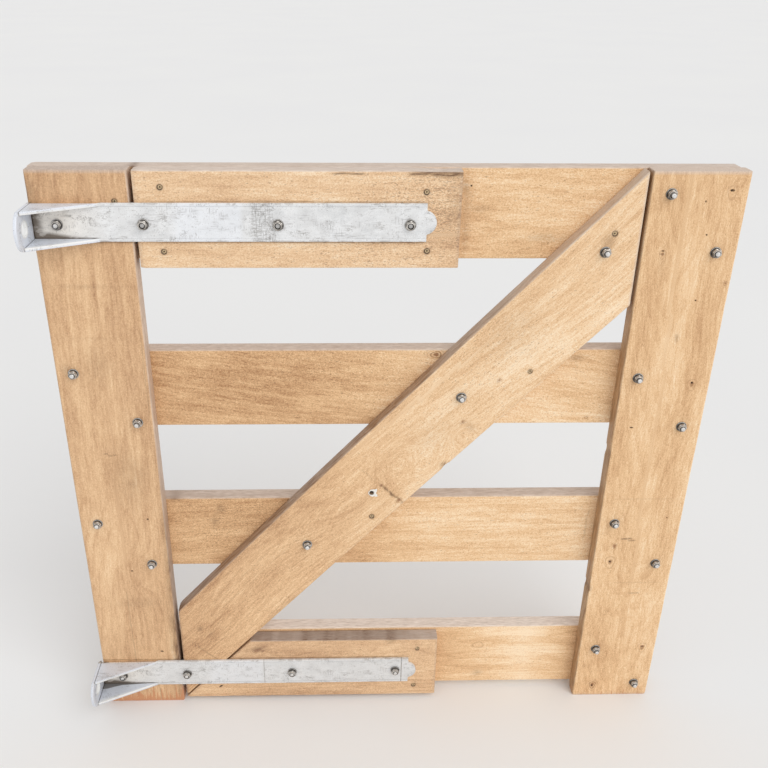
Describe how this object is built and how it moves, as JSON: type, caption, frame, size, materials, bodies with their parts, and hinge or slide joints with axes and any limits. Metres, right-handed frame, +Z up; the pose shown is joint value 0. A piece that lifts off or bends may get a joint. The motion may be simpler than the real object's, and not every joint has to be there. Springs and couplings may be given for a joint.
{
  "type": "kissing gate leaf",
  "caption": "Square timber gate leaf with horizontal rails, a diagonal brace and box-ended strap hinges, hung to swing inside a kissing gate's hoop.",
  "frame": {"origin": "on the outer face of the lower hinge's end plate, level with its eye bolt hole and 28 mm behind the hole's centre", "axes": "+X from the hanging edge to the closing edge, -Y to the front where the straps are, +Z up"},
  "size_m": [1.049, 0.126, 1.018],
  "materials": {
    "timber": "planed, oiled, rounded edges",
    "galvanised_steel": "hot-dip galvanised, dull and mottled"
  },
  "bodies": {
    "root": {"hanging_stile": "timber", "closing_stile": "timber", "top_rail": "timber", "upper_middle_rail": "timber", "lower_middle_rail": "timber", "bottom_rail": "timber", "brace": "timber", "top_packing_board": "timber", "bottom_packing_board": "timber", "upper_strap": "galvanised_steel", "upper_end_plate": "galvanised_steel", "upper_hinge_top_side": "galvanised_steel", "upper_hinge_bottom_side": "galvanised_steel", "lower_strap": "galvanised_steel", "lower_end_plate": "galvanised_steel", "lower_hinge_top_side": "galvanised_steel", "lower_hinge_bottom_side": "galvanised_steel"}
  },
  "joints": []
}
